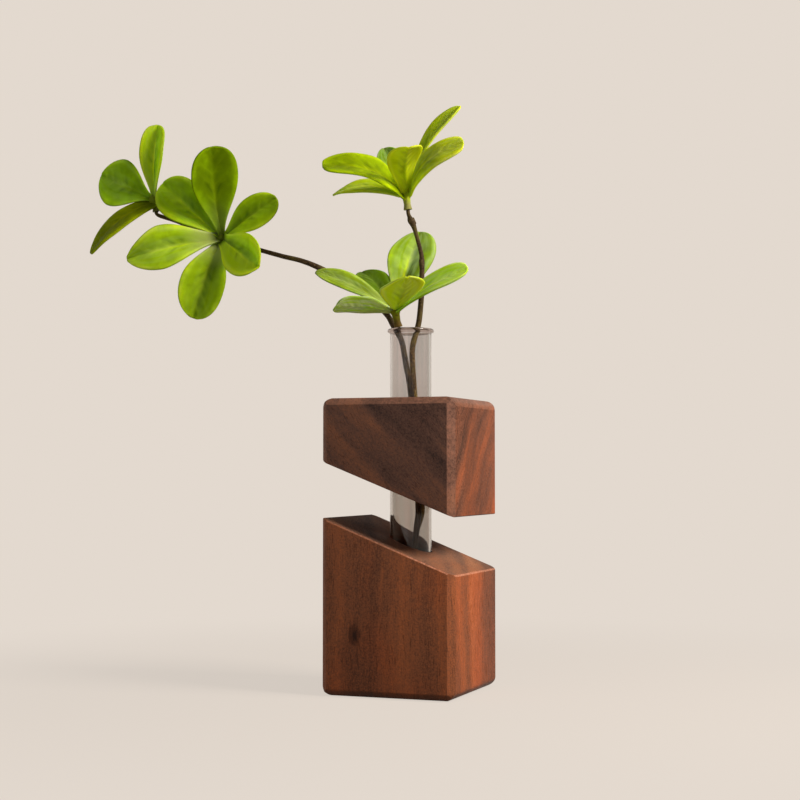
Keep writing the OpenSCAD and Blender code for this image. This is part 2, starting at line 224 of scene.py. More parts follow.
def rescaled(tree, value, low, high, new_low=0.0, new_high=1.0):
    return add_node(tree, "ShaderNodeMapRange", {
        "Value": value, "From Min": low, "From Max": high, "To Min": new_low,
        "To Max": new_high}).outputs["Result"]


def mottle(tree, place, scale, detail=2.0, roughness=0.5):
    return add_node(tree, "ShaderNodeTexNoise", {
        "Vector": place, "Scale": scale, "Detail": detail,
        "Roughness": roughness}).outputs["Fac"]


def streaks(tree, place, across, around, along, detail=3.0, roughness=0.55):
    stretched = vector_node(tree, "MULTIPLY", place, (across, around, along))
    return mottle(tree, stretched, 1.0, detail, roughness)


def emboss(tree, shader, relief, strength, distance):
    bump = add_node(tree, "ShaderNodeBump", {"Height": relief, "Strength": strength,
                    "Distance": distance})
    set_inputs(tree, shader, {"Normal": bump.outputs["Normal"]})


def empty_tree(holder):
    holder.use_nodes = True
    holder.node_tree.nodes.clear()
    return holder.node_tree


def new_material(name):
    material = bpy.data.materials.new(name)
    tree = empty_tree(material)
    shader = tree.nodes.new("ShaderNodeBsdfPrincipled")
    add_node(tree, "ShaderNodeOutputMaterial", {"Surface": shader.outputs["BSDF"]})
    return material, tree, shader


def walnut(name, layers, fibres, middle, bands, shades, figure, dust, right_side_light_tint,
           strip_dust, knot=None):
    material, tree, shader = new_material(name)
    coordinates = add_node(tree, "ShaderNodeTexCoord")
    place = coordinates.outputs["Object"]
    normal = coordinates.outputs["Normal"]
    parts = add_node(tree, "ShaderNodeSeparateXYZ", {0: place})
    sideways, depth, height = (parts.outputs[axis] for axis in "XYZ")
    facing = add_node(tree, "ShaderNodeVectorMath", {0: normal, 1: fibres},
                      operation="DOT_PRODUCT").outputs["Value"]
    end_grain = ramp(tree, math_node(tree, "ABSOLUTE", facing), [(0.70, 0.0), (0.88, 1.0)])
    rightness = add_node(tree, "ShaderNodeSeparateXYZ", {0: normal}).outputs["X"]
    turned_right = ramp(tree, rightness, [(0.75, 0.0), (0.95, 1.0)])
    if knot:
        from_knot = vector_node(tree, "SUBTRACT", place, knot)
        spread = vector_node(tree, "MULTIPLY", from_knot, KNOT_SQUASH)
        reach = add_node(tree, "ShaderNodeVectorMath", {0: spread},
                         operation="LENGTH").outputs["Value"]
        swirl = ramp(tree, math_node(tree, "DIVIDE", reach, KNOT_PULL), [(0, 0.45), (1, 0.0)])
        pull = add_node(tree, "ShaderNodeVectorMath", {0: from_knot, "Scale": swirl},
                        operation="SCALE").outputs[0]
        place = vector_node(tree, "ADD", place, pull)

    centred = vector_node(tree, "SUBTRACT", place, middle)
    turn = Matrix((layers, fibres.cross(layers), fibres)).to_euler()
    grain = add_node(tree, "ShaderNodeMapping", {"Vector": centred, "Rotation": turn}).outputs[0]
    sway = add_node(tree, "ShaderNodeTexNoise", {"Vector": grain, "Scale": SWAY_SCALE,
                    "Detail": 2.0})
    sway_centred = vector_node(tree, "SUBTRACT", sway.outputs["Color"], (0.5, 0.5, 0.5))
    grain = vector_node(tree, "ADD", grain,
                        vector_node(tree, "MULTIPLY", sway_centred, GRAIN_SWAY))
    across_grain = add_node(tree, "ShaderNodeSeparateXYZ", {0: grain}).outputs["X"]
    tone = ramp(tree, rescaled(tree, across_grain, -BAND_REACH, BAND_REACH), bands)
    for across, around, along, share in figure:
        tone = varied(tree, tone, streaks(tree, grain, across, around, along), share)
    speckle = mottle(tree, place, SPECKLE_SCALE)
    tone = varied(tree, tone, speckle, dust)

    colour = ramp(tree, tone, shades, "LINEAR")
    # End grain is painted greyer: a painted sheen in place of the specular reflection that is
    # turned down on it.
    colour = tinted(tree, end_grain, colour, END_GRAIN_PAINTED_SHEEN)
    # Faces turned to the right are tinted warmer and redder: painted light from the lamp on the
    # right.
    colour = tinted(tree, turned_right, colour, right_side_light_tint)
    # Redder in large clouds, which is the wood's own colour, and less red higher up, which is a
    # painted sheen greying the upper part.
    cloud = streaks(tree, grain, 34, 34, 16, detail=2.0)
    red_below_sheen = math_node(tree, "ADD", cloud, math_node(tree, "MULTIPLY", height, SHEEN_GREYING_PER_METRE))
    redness = ramp(tree, red_below_sheen, [(0.25, 0.0), (0.62, 1.0)])
    colour = tinted(tree, math_node(tree, "MULTIPLY", redness, RED_SHARE), colour, RED_CLOUD_TINT)

    # Edges are painted paler by that share, partly real wear and partly a painted highlight that
    # grows towards the lit right side.
    wear_and_edge_light = add_node(tree, "ShaderNodeAttribute", attribute_name="wear_and_edge_light").outputs["Fac"]
    rubbed = ramp(tree, streaks(tree, place, RUBBED_SCALE, RUBBED_SCALE, RUBBED_SCALE),
                  [(0.36, 0.35), (0.64, 1.0)])
    lit_rightwards = rescaled(tree, sideways, -block_half, FULL_EDGE_LIGHT_PLACE, EDGE_LIGHT_AT_LEFT)
    wear_and_light = math_node(tree, "MULTIPLY", wear_and_edge_light, math_node(tree, "MULTIPLY", rubbed, lit_rightwards))
    dusted = rescaled(tree, depth, *DUST_STRIP, strip_dust, 0.0)
    dusted = math_node(tree, "MULTIPLY", math_node(tree, "MULTIPLY", dusted, turned_right),
                       ramp(tree, speckle, [(0.42, 0.0), (0.58, 1.0)]))
    colour = mix_colour(tree, math_node(tree, "MAXIMUM", wear_and_light, dusted), colour, PALE_WEAR_DUST_AND_LIGHT_SHADE)
    pores = ramp(tree, streaks(tree, grain, 2300, 1500, 130, detail=1.0),
                 [(0.57, 0.0), (0.69, 1.0)])
    colour = mix_colour(tree, math_node(tree, "MULTIPLY", pores, PORE_SHARE), colour, PORE_SHADE)
    if knot:
        ragged = varied(tree, math_node(tree, "DIVIDE", reach, KNOT_HEART),
                        streaks(tree, grain, 500, 500, 180), 1.0)
        heart = ramp(tree, ragged, [(0.1, 0.92), (0.45, 0.6), (1.0, 0.0)])
        colour = mix_colour(tree, heart, colour, KNOT_SHADE)
    # The lowest few millimetres are darkened: painted shade under the block's foot.
    bottom_painted_shade = ramp(tree, math_node(tree, "MULTIPLY", height, CENTIMETRES),
                 [(0.22, 0.5), (0.36, 1.0)])
    colour = mix_colour(tree, 1.0, colour, bottom_painted_shade, "MULTIPLY")

    set_inputs(tree, shader, {
        "Base Color": colour,
        "Roughness": rescaled(tree, pores, 0.0, 1.0, 0.50, 0.75),
        "Specular IOR Level": rescaled(tree, end_grain, 0.0, 1.0, 0.07, 0.004)})
    relief = math_node(tree, "SUBTRACT", math_node(tree, "MULTIPLY", speckle, 0.35), pores)
    emboss(tree, shader, relief, strength=0.5, distance=0.00012)
    return material


lower_block = sanded_block("lower_walnut", "lower_block", sawn_wear_and_light=0.80, chamfer_wear_and_light=0.0)
lower_block.data.materials.append(walnut(
    "walnut_upright", layers=Vector((0.906, 0.423, 0)), fibres=Vector((0, 0, 1)),
    middle=(0, 0, 0.035),
    bands=[(0.0, 0.49), (0.08, 0.55), (0.16, 0.44), (0.24, 0.38), (0.27, 0.31), (0.33, 0.51),
           (0.42, 0.64), (0.50, 0.54), (0.56, 0.45), (0.62, 0.57), (0.68, 0.46), (0.73, 0.63),
           (0.78, 0.49), (0.82, 0.74), (0.87, 0.64), (0.91, 0.40), (0.96, 0.34), (1.0, 0.24)],
    shades=[(0.0, (0.044, 0.019, 0.012)), (0.25, (0.128, 0.052, 0.029)),
            (0.5, (0.252, 0.089, 0.041)), (0.75, (0.400, 0.120, 0.044)),
            (1.0, (0.580, 0.210, 0.092))],
    figure=[(190, 45, 11, 0.34), (900, 260, 26, 0.22), (2600, 700, 60, 0.26),
            (60, 60, 26, 0.26)],
    dust=0.72, right_side_light_tint=(1.02, 0.91, 0.79), strip_dust=0.0,
    knot=(-0.0158, -block_half, 0.0288)))
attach(lower_block, "lower")


# Cushion and grip rings: soft silicone, cast in one piece each. The cushion lies in the
# bottom of the bore under the round end of the tube. The rings sit in turned grooves and
# hold the glass: one in the lower block, and two in the upper one, which carry it.
CUSHION_RADIUS = 0.0102
CUSHION_FLOOR = 0.020
CUSHION_RIM = 0.006
CUSHION_WEB = 0.003
CUSHION_FOOT_ROUNDING = 0.0004
CUSHION_RIM_ROUNDING = 0.0002
SEAT_RADIUS = 0.0103
RING_INNER = 0.0101
RING_OUTER = 0.0120
RING_HEIGHT = 0.0026
RING_WAIST = 0.55
SPIN_STEPS = 128


def turned(name, profile, closed=False):
    shell = bmesh.new()
    points = [shell.verts.new((radius, 0, height)) for radius, height in profile]
    pairs = list(zip(points, points[1:])) + ([(points[-1], points[0])] if closed else [])
    edges = [shell.edges.new(pair) for pair in pairs]
    bmesh.ops.spin(shell, geom=points + edges, cent=(0, 0, 0), axis=(0, 0, 1), dvec=(0, 0, 0),
                   angle=2 * math.pi, steps=SPIN_STEPS, use_merge=True)
    bmesh.ops.remove_doubles(shell, verts=shell.verts, dist=SAME_PLACE)
    bmesh.ops.recalc_face_normals(shell, faces=shell.faces)
    return new_object(name, shell)


def arc(centre_r, centre_z, radius, start, end, steps):
    angles = [math.radians(start + (end - start) * k / steps) for k in range(steps + 1)]
    return [(max(0.0, centre_r + radius * math.cos(a)), centre_z + radius * math.sin(a))
            for a in angles]


def piece_place(tree):
    return add_node(tree, "ShaderNodeTexCoord").outputs["Object"]


def silicone():
    material, tree, shader = new_material("silicone")
    place = piece_place(tree)
    milky = ramp(tree, mottle(tree, place, 260.0),
                 [(0.3, (0.62, 0.62, 0.58)), (0.7, (0.74, 0.74, 0.71))])
    set_inputs(tree, shader, {
        "Base Color": milky, "Roughness": 0.55, "Subsurface Weight": 0.3,
        "Subsurface Radius": (0.002, 0.002, 0.002), "Subsurface Scale": 1.0})
    emboss(tree, shader, mottle(tree, place, 4200.0), strength=0.3, distance=0.00005)
    return material


silicone_material = silicone()


def grip_ring(cad_node, body):
    low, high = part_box(cad_node)
    middle = (low.z + high.z) / 2
    half = RING_HEIGHT / 2
    lip = half / 2
    profile = (arc(RING_OUTER - lip / 2, middle + half - lip / 2, lip / 2, 0, 90, 4)
               + arc(RING_INNER + lip, middle + half - lip, lip, 90, 180, 6)
               + [(RING_INNER + lip * RING_WAIST, middle)]
               + arc(RING_INNER + lip, middle - half + lip, lip, 180, 270, 6)
               + arc(RING_OUTER - lip / 2, middle - half + lip / 2, lip / 2, 270, 360, 4))
    ring = turned(cad_node + "_cast", profile, closed=True)
    ring.data.materials.append(silicone_material)
    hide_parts(cad_node)
    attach(ring, body)


cushion_seat = CUSHION_FLOOR + CUSHION_WEB + SEAT_RADIUS
seat_rim_angle = -math.degrees(math.asin((cushion_seat - CUSHION_FLOOR - CUSHION_RIM)
                                         / SEAT_RADIUS))
cushion = turned("tube_cushion_cast", [(0, CUSHION_FLOOR)]
                 + arc(CUSHION_RADIUS - CUSHION_FOOT_ROUNDING,
                       CUSHION_FLOOR + CUSHION_FOOT_ROUNDING, CUSHION_FOOT_ROUNDING, -90, 0, 4)
                 + arc(CUSHION_RADIUS - CUSHION_RIM_ROUNDING,
                       CUSHION_FLOOR + CUSHION_RIM - CUSHION_RIM_ROUNDING,
                       CUSHION_RIM_ROUNDING, 0, 90, 3)
                 + arc(0, cushion_seat, SEAT_RADIUS, seat_rim_angle, -90, 24))
cushion.data.materials.append(silicone_material)
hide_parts("tube_cushion")
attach(cushion, "lower")
grip_ring("lower_grip_ring", "lower")
grip_ring("upper_grip_ring_low", "upper_grip")
grip_ring("upper_grip_ring_high", "upper_grip")


# Glass tube: a drawn tube with a round bottom and a fire-polished bead round its mouth,
# in clear glass with a slight smoky tint. It stands in the lower block.
TUBE_RADIUS = 0.010
GLASS_WALL = 0.0012
LIP_BEAD = 0.0024
NECK_LOW = 0.0016
NECK_HIGH = 0.0010
NECK_SWELL = 0.0001
BEAD_START = -38
WALL_START = 0.001
WALL_STEP = 0.018
GLASS_INDEX = 1.30
BEAD_SHADING = 1.4 * LIP_BEAD
PAINTED_SHADE_FADES = (0.105, 0.15)
LOW_TUBE_PAINTED_SHADE = (0.84, 0.81, 0.77)
BEAD_TINT = (0.62, 0.53, 0.49)
tube_low, tube_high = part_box("glass_tube")
mouth = tube_high.z
tube_inner = TUBE_RADIUS - GLASS_WALL
round_end = tube_low.z + TUBE_RADIUS
lip_z = mouth - LIP_BEAD / 2
wall_heights = [round_end + WALL_START + k * WALL_STEP for k in range(8)]
glass_tube = turned("smoky_glass_tube",
                    arc(0, round_end, TUBE_RADIUS, -90, 0, 28)
                    + [(TUBE_RADIUS, height) for height in wall_heights]
                    + [(TUBE_RADIUS, lip_z - NECK_LOW),
                       (TUBE_RADIUS + NECK_SWELL, lip_z - NECK_HIGH)]
                    + arc(tube_inner + LIP_BEAD / 2, lip_z, LIP_BEAD / 2, BEAD_START, 180, 18)
                    + [(tube_inner, height) for height in reversed(wall_heights)]
                    + arc(0, round_end, tube_inner, 0, -90, 26))


def smoky_glass():
    material, tree, shader = new_material("smoky_glass")
    place = piece_place(tree)
    height = add_node(tree, "ShaderNodeSeparateXYZ", {0: place}).outputs["Z"]
    smoke = ramp(tree, streaks(tree, place, 170, 170, 9, detail=1.0),
                 [(0.30, (0.66, 0.625, 0.60)), (0.42, (0.70, 0.70, 0.68)),
                  (0.52, (0.76, 0.705, 0.685)), (0.62, (0.69, 0.68, 0.67)),
                  (0.75, (0.80, 0.775, 0.76))])
    # The tube is painted darker low down, fading out upwards from 105 to 150 mm: painted shade
    # where it runs between and into the blocks.
    smoke = mix_colour(tree, rescaled(tree, height, *PAINTED_SHADE_FADES),
                       mix_colour(tree, 1.0, smoke, LOW_TUBE_PAINTED_SHADE, "MULTIPLY"), smoke)
    bead = ramp(tree, rescaled(tree, height, mouth - BEAD_SHADING, mouth),
                [(0.2, 0.0), (0.4, 1.0)])
    set_inputs(tree, shader, {
        "Base Color": tinted(tree, bead, smoke, BEAD_TINT), "Transmission Weight": 1.0,
        "Roughness": 0.03, "IOR": GLASS_INDEX})
    drawn = streaks(tree, place, 420, 420, 8, detail=1.0)
    emboss(tree, shader, drawn, strength=0.25, distance=0.0001)
    return material


glass_tube.data.materials.append(smoky_glass())
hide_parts("glass_tube")
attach(glass_tube, "tube")


# Upper block: the wedge cut from the same walnut block, bored right through and held on the
# tube by its two rings. Here the figure runs askew, so its bands fall to the right across
# the front and climb across the right side.
upper_block = sanded_block("upper_walnut", "upper_block", sawn_wear_and_light=0.0, chamfer_wear_and_light=0.27)
slant_layers = Vector((0.525, -0.670, 0.525)).normalized()
slant_fibres = slant_layers.cross(Vector((0.66, 0.72, 0.22))).normalized()
upper_block.data.materials.append(walnut(
    "walnut_slanting", layers=slant_layers, fibres=slant_fibres, middle=(0, 0, 0.112),
    bands=[(0.0, 0.62), (0.12, 0.66), (0.22, 0.44), (0.30, 0.66), (0.38, 0.50), (0.50, 0.36),
           (0.58, 0.34), (0.66, 0.44), (0.73, 0.22), (0.80, 0.34), (0.88, 0.10), (0.95, 0.22),
           (1.0, 0.14)],
    shades=[(0.0, (0.051, 0.0295, 0.024)), (0.25, (0.147, 0.0735, 0.0525)),
            (0.5, (0.265, 0.110, 0.061)), (0.75, (0.418, 0.141, 0.057)),
            (1.0, (0.494, 0.200, 0.097))],
    figure=[(190, 45, 11, 0.62), (620, 130, 26, 0.26), (60, 40, 16, 0.45)],
    dust=0.50, right_side_light_tint=(1.12, 0.745, 0.50), strip_dust=0.10))
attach(upper_block, "upper")


# Stems: wire cores sheathed in brown moulded bark, ridged and a little knotty. They stand
# together in the tube. One arches far out to the left to carry two rosettes, and the one
# under the top rosette keeps the stub of a cut twig.
BARK_RELIEF = 0.00010
BARK_LENGTH = 0.0028
BARK_FILL = 0.00012
BARK_SMOOTHING = 0.35
KNOT_REACH = 0.0016
KNOT_SWELL = 0.00085
SPRAY_TURN = Matrix.Rotation(math.radians(21), 4, "Z")
TWIG_RADIUS = 0.00075
TWIG_LENGTH = 0.0034
TWIG_TAPER = 0.8
TWIG_PLACE = Vector((0.00165, 0.0012, 0.2259))
TWIG_LEAN = math.radians(-21)
TWIG_RIM_ANGLE = 1.2
TWIG_RIM_ROUNDING = 0.2 * TWIG_RADIUS
TUBE_LIGHT_FROM = 0.02
TUBE_LIGHT_TO = 0.01
GREEN_BROWN = (0.165, 0.125, 0.030)
ABOVE_MOUTH_TINT = (0.62, 0.60, 0.55)
stem_knots = [Vector((-0.0008, 0.0012, 0.2258)), Vector((0.0010, 0.0012, 0.2246)),
              Vector((0.0048, 0.0030, 0.2060)), Vector((-0.0435, 0.0070, 0.2032))]


def bark(name, in_tube_painted_light):
    material, tree, shader = new_material(name)
    place = piece_place(tree)
    ridges = mottle(tree, place, 900.0, detail=4.0, roughness=0.6)
    patches = mottle(tree, place, 150.0)
    brown = ramp(tree, ridges, [(0.32, (0.034, 0.018, 0.007)), (0.52, (0.105, 0.062, 0.026)),
                                (0.72, (0.260, 0.175, 0.085))])
    brown = mix_colour(tree, ramp(tree, patches, [(0.42, 0.0), (0.66, 0.7)]), brown, GREEN_BROWN)
    height = add_node(tree, "ShaderNodeSeparateXYZ", {0: place}).outputs["Z"]
    # Below the tube's mouth the bark is painted lighter or darker than above it: painted light
    # where the glass holds light back, painted shade against the grey of the glass's reflections.
    tube_painted_light = ramp(tree, rescaled(tree, height, mouth - TUBE_LIGHT_FROM, mouth + TUBE_LIGHT_TO),
                     [(0.3, in_tube_painted_light), (0.8, ABOVE_MOUTH_TINT)])
    set_inputs(tree, shader, {
        "Base Color": mix_colour(tree, 1.0, brown, tube_painted_light, "MULTIPLY"),
        "Roughness": 0.62, "Specular IOR Level": 0.15})
    emboss(tree, shader, ridges, strength=0.8, distance=0.00018)
    return material


def add_twig_stub(shell):
    place = SPRAY_TURN @ Matrix.Translation(TWIG_PLACE) @ Matrix.Rotation(TWIG_LEAN, 4, "Y")
    twig = bmesh.ops.create_cone(shell, cap_ends=True, segments=10, radius1=TWIG_RADIUS,
                                 radius2=TWIG_TAPER * TWIG_RADIUS, depth=TWIG_LENGTH,
                                 matrix=place)["verts"]
    rims = [e for e in sharp_edges(shell, TWIG_RIM_ANGLE) if e.verts[0] in twig]
    bevel_edges(shell, rims, TWIG_RIM_ROUNDING, segments=1, clamp=False)


# The top stem's bark is painted lighter inside the tube, the other stems' bark painted darker.
bark_painted_lighter_in_tube = bark("bark_painted_lighter_in_tube", (2.00, 1.85, 1.45))
bark_painted_darker_in_tube = bark("bark_painted_darker_in_tube", (0.52, 0.40, 0.22))
for stem_name, stem_bark in (("top_stem", bark_painted_lighter_in_tube), ("low_stem", bark_painted_darker_in_tube),
                             ("left_stem", bark_painted_darker_in_tube)):
    shell = merged_copy(stem_name)
    bmesh.ops.join_triangles(shell, faces=shell.faces, angle_face_threshold=math.radians(30),
                             angle_shape_threshold=math.radians(60))
    bmesh.ops.subdivide_edges(shell, edges=shell.edges, cuts=1, use_grid_fill=True)
    bmesh.ops.smooth_vert(shell, verts=shell.verts, factor=BARK_SMOOTHING, use_axis_x=True,
                          use_axis_y=True, use_axis_z=True)
    for vert in shell.verts:
        ridge = noise.noise(vert.co / BARK_LENGTH) * BARK_RELIEF
        for knot in stem_knots:
            near = (vert.co - SPRAY_TURN @ knot).length / KNOT_REACH
            ridge += KNOT_SWELL * max(0.0, 1 - near * near)
        vert.co += vert.normal * (ridge + BARK_FILL)
    if stem_name == "top_stem":
        add_twig_stub(shell)
    stem = new_object(stem_name + "_bark", shell)
    rounding = stem.modifiers.new("rounding", "SUBSURF")
    rounding.levels = rounding.render_levels = 1
    stem.data.materials.append(stem_bark)
    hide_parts(stem_name)
    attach(stem, "spray")


# Sleeves: moulded sockets that a rosette's leaves are glued into. Each is green at its
# round crown and turns pale or brown where it grips the stem.
CROWNS = {"top": Vector((-0.002268, 0, 0.2388)), "low": Vector((-0.00756, -0.002772, 0.181488)),
          "left": Vector((-0.09198, 0.006048, 0.217709)),
          "far": Vector((-0.126, 0.012096, 0.237818))}
CROWN_RADIUS = 0.0025
# The top crown's green is painted lighter than the shade between its leaves would leave it:
# painted light.
SLEEVE_SHADES = {"top": ((0.46, 0.58, 0.012), (0.31, 0.30, 0.085)),
                 "low": ((0.23, 0.25, 0.006), (0.17, 0.105, 0.022)),
                 "left": ((0.085, 0.120, 0.004), (0.14, 0.12, 0.03)),
                 "far": ((0.18, 0.24, 0.008), (0.22, 0.22, 0.05))}
SLEEVE_SPOT_SHADE = (0.09, 0.055, 0.02)
SHADE_REACH = 3.2 * CROWN_RADIUS
SLEEVE_RIM_ANGLE = 0.8
SLEEVE_RIM_ROUNDING = 0.00012
SLEEVE_CREASE = math.radians(50)


def sleeve_plastic(rosette):
    material, tree, shader = new_material(rosette + "_sleeve_plastic")
    place = piece_place(tree)
    apart = add_node(tree, "ShaderNodeVectorMath", {0: place, 1: SPRAY_TURN @ CROWNS[rosette]},
                     operation="DISTANCE").outputs["Value"]
    blotch = mottle(tree, place, 700.0, detail=3.0)
    share = varied(tree, math_node(tree, "DIVIDE", apart, SHADE_REACH), blotch, 0.5)
    crown_shade, mouth_shade = SLEEVE_SHADES[rosette]
    shade = ramp(tree, share, [(0.25, crown_shade), (0.8, mouth_shade)])
    spots = ramp(tree, blotch, [(0.30, 0.75), (0.44, 0.0)])
    set_inputs(tree, shader, {
        "Base Color": mix_colour(tree, spots, shade, SLEEVE_SPOT_SHADE),
        "Roughness": 0.5, "Specular IOR Level": 0.06})
    emboss(tree, shader, blotch, strength=0.6, distance=0.0002)
    return material


for rosette in CROWNS:
    shell = merged_copy(rosette + "_sleeve")
    bevel_edges(shell, sharp_edges(shell, SLEEVE_RIM_ANGLE), SLEEVE_RIM_ROUNDING, segments=2)
    sleeve = new_object(rosette + "_sleeve_moulded", shell)
    sleeve.data.set_sharp_from_angle(angle=SLEEVE_CREASE)
    sleeve.data.materials.append(sleeve_plastic(rosette))
    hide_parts(rosette + "_sleeve")
    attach(sleeve, "spray")


# Leaves: thick blades pressed from soft plastic, narrow at the foot and blunt at the tip,
# with a sunken midrib, slanting side veins and a rolled rim that carries a painted highlight.
# Their feet are glued into the crown of their rosette's sleeve.
LEAF_LENGTH = 0.044
LEAF_WIDTH = 0.021
LEAF_THICKNESS = 0.0009
LEAF_FOOT = 0.0012
CAD_FOOT = 0.0028
STEPS_ALONG, STEPS_ACROSS = 44, 20
TIP_CROWDING = 1.12
SHOULDER_CURVE = 0.9
TIP_LEAST = 0.08
TIP_CURVE, TIP_BLUNTING = 0.81, 0.7
CUP_CURVE = 1.15
GROOVE_DEPTH = 0.00045
GROOVE_WIDTH = 0.10
QUILT_HEIGHT = 0.00014
SIDE_VEINS = 9
VEIN_SLANT = 0.2
RIM_DROP = 0.0005
RIM_START, RIM_WIDTH = 0.8, 0.2
WAVE_HEIGHT = 0.0007
WAVES_ALONG, WAVES_ACROSS = 3.2, 1.3
MIDDLE_WAVE_SHARE = 0.3
SEED_STEP = 3.7
GREENS = [(0.0, (0.028, 0.060, 0.001)), (0.45, (0.110, 0.240, 0.001)),
          (0.75, (0.225, 0.480, 0.002)), (1.0, (0.400, 0.800, 0.006))]
GOLDS = [(0.0, (0.050, 0.060, 0.001)), (0.45, (0.200, 0.240, 0.001)),
         (0.75, (0.400, 0.480, 0.001)), (1.0, (0.660, 0.800, 0.003))]
MILK_AND_SHEEN_SHADE = (0.60, 0.82, 0.34)
PALE_FOOT_SHADE = (0.45, 0.54, 0.14)
ROOT_PAINTED_SHADE = (0.050, 0.075, 0.004)
VEIN_TINT = (1.7, 1.5, 1.5)
PUCKER_PAINTED_SHADE = (0.50, 0.56, 0.60)
UPPER_MIDRIB_TINT = (1.9, 1.7, 2.5)
UNDER_MIDRIB_TINT = (0.55, 0.6, 0.6)
RIM_HIGHLIGHT_TINT = (1.30, 1.27, 2.0)
GREEN_EDGE_PAINTED_SHADE = (0.55, 0.55, 0.6)
GOLD_EDGE_PAINTED_LIGHT = (1.0, 1.0, 3.0)
LEAF_TONES = ("lightness", "yellowness", "fold_light", "paleness", "milk_and_sheen", "root_shade")
ROOT_PAINTED_SHADE_SHARES = {"top": 0, "low": 0.25, "left": 0.85, "far": 0.5}
# In each row: turn, lean, length, width, arch, roll, cupping, twist, where it is widest, how
# blunt its tip and how broad its foot are, and the first five tones: lightness, yellowness,
# the painted light and shade across the fold, paleness, and milkiness with painted sheen.
LEAF_ROWS = {
    "top": [
        (168, 31, 1.06, 0.97, 0.15, 137, 11, 31, 0.45, 4, 0.45, 0.59, 0.65, 0, 0, 0),
        (178.5, -15, 0.84, 0.66, 0.13, 142, 7, 18, 0.61, 1.9, 0.4, 1.04, 0.63, 0, 0, 0.08),
        (85.5, 71, 1.01, 0.83, 0.08, -64, 15, -27, 0.68, 1.9, 0.34, 1.02, 0.88, 0, 0, 0.03),
        (113.5, -27, 0.69, 0.62, 0.06, 92, 19, 14, 0.69, 1.6, 0.29, 0.51, 0.24, 0, 0, 0.15),
        (59.5, -11, 1.21, 0.66, 0.08, 27, 15, 20, 0.67, 2.4, 0.15, 0.83, 0.8, 0, 0, 0.05),
        (38, 26, 0.88, 0.87, 0.16, 38, 4, -9, 0.56, 4.4, 0.5, 0.79, 1, 0, 0, 0.08)],
    "low": [
        (153.5, 4, 0.97, 0.74, 0.05, 145, 13, -41, 0.55, 1.5, 0.51, 0.46, 0.63, 0.1, 0.3, 0.1),
        (178.5, 32, 0.75, 0.66, 0.04, 210, 10, -1, 0.56, 3.7, 0.29, 1.25, 0.14, 0, 0.3, 0.6),
        (128, -34, 0.73, 0.78, 0.08, 124, 15, -4, 0.67, 1.8, 0.17, 0.25, 0.24, 0, 0, 0.02),
        (73.5, -35, 1.24, 1.13, 0.04, 75, 4, -15, 0.68, 1.9, 0.14, 0.65, 0.42, 0.9, 0.35, 0.17),
        (65, 70, 0.9, 1.04, -0.01, -54, 12, 0, 0.66, 1.3, 0.22, 1.11, 0.68, 0, 0, 0.1),
        (28, 20, 0.95, 0.88, 0.06, 30, 12, 6, 0.6, 3.2, 0.5, 1.07, 0.14, 0, 0, 0.2)],
    "left": [
        (94.5, 21, 1.03, 1.16, -0.1, 111, 15, 22, 0.68, 2.5, 0.14, 0.45, 0.44, 0, 0.15, 0),
        (137, -1, 0.91, 1.05, -0.01, 102, 14, -39, 0.7, 2.2, 0.14, 0.89, 0.29, 0.3, 0.1, 0.04),
        (194, 12, 1.07, 1.02, 0.08, 100, 30, -50, 0.64, 1.5, 0.31, 0.85, 0.47, 0.15, 0.95, 0.08),
        (253, 16, 0.99, 1.05, 0.13, 94, 17, -18, 0.63, 2.4, 0.24, 0.72, 0.44, -0.5, 0.9, 0.03),
        (320, 48, 0.92, 0.99, 0.01, 99, 23, 4, 0.66, 2.4, 0.33, 1.02, 0.46, -1, 0.1, 0.05),
        (34.5, 18, 0.79, 0.75, 0.06, 88, 21, 30, 0.63, 2.3, 0.19, 0.8, 0.42, -0.4, 0.1, 0.02)],
    "far": [
        (85, 14, 0.83, 0.62, 0.06, 69, 33, 8, 0.62, 3.2, 0.22, 1.05, 0.35, 0.6, 0.3, 0.06),
        (155, 1, 0.65, 1.16, 0.05, 89, 9, -22, 0.67, 1.7, 0.14, 0.76, 0.24, -0.15, 0, 0.05),
        (224, 13, 0.94, 0.77, 0.1, 137, 4, 35, 0.57, 1.8, 0.54, 0.43, 0.95, 0, 0, 0)]}


def outline_width(t, widest, blunt, foot):
    if t < widest:
        return foot + (1 - foot) * (1 - math.cos(math.pi * (t / widest) ** SHOULDER_CURVE)) / 2
    past = min(1.0, (t - widest) / (1 - widest))
    return max(TIP_LEAST, (1 - past ** blunt) ** (TIP_CURVE / blunt ** TIP_BLUNTING))


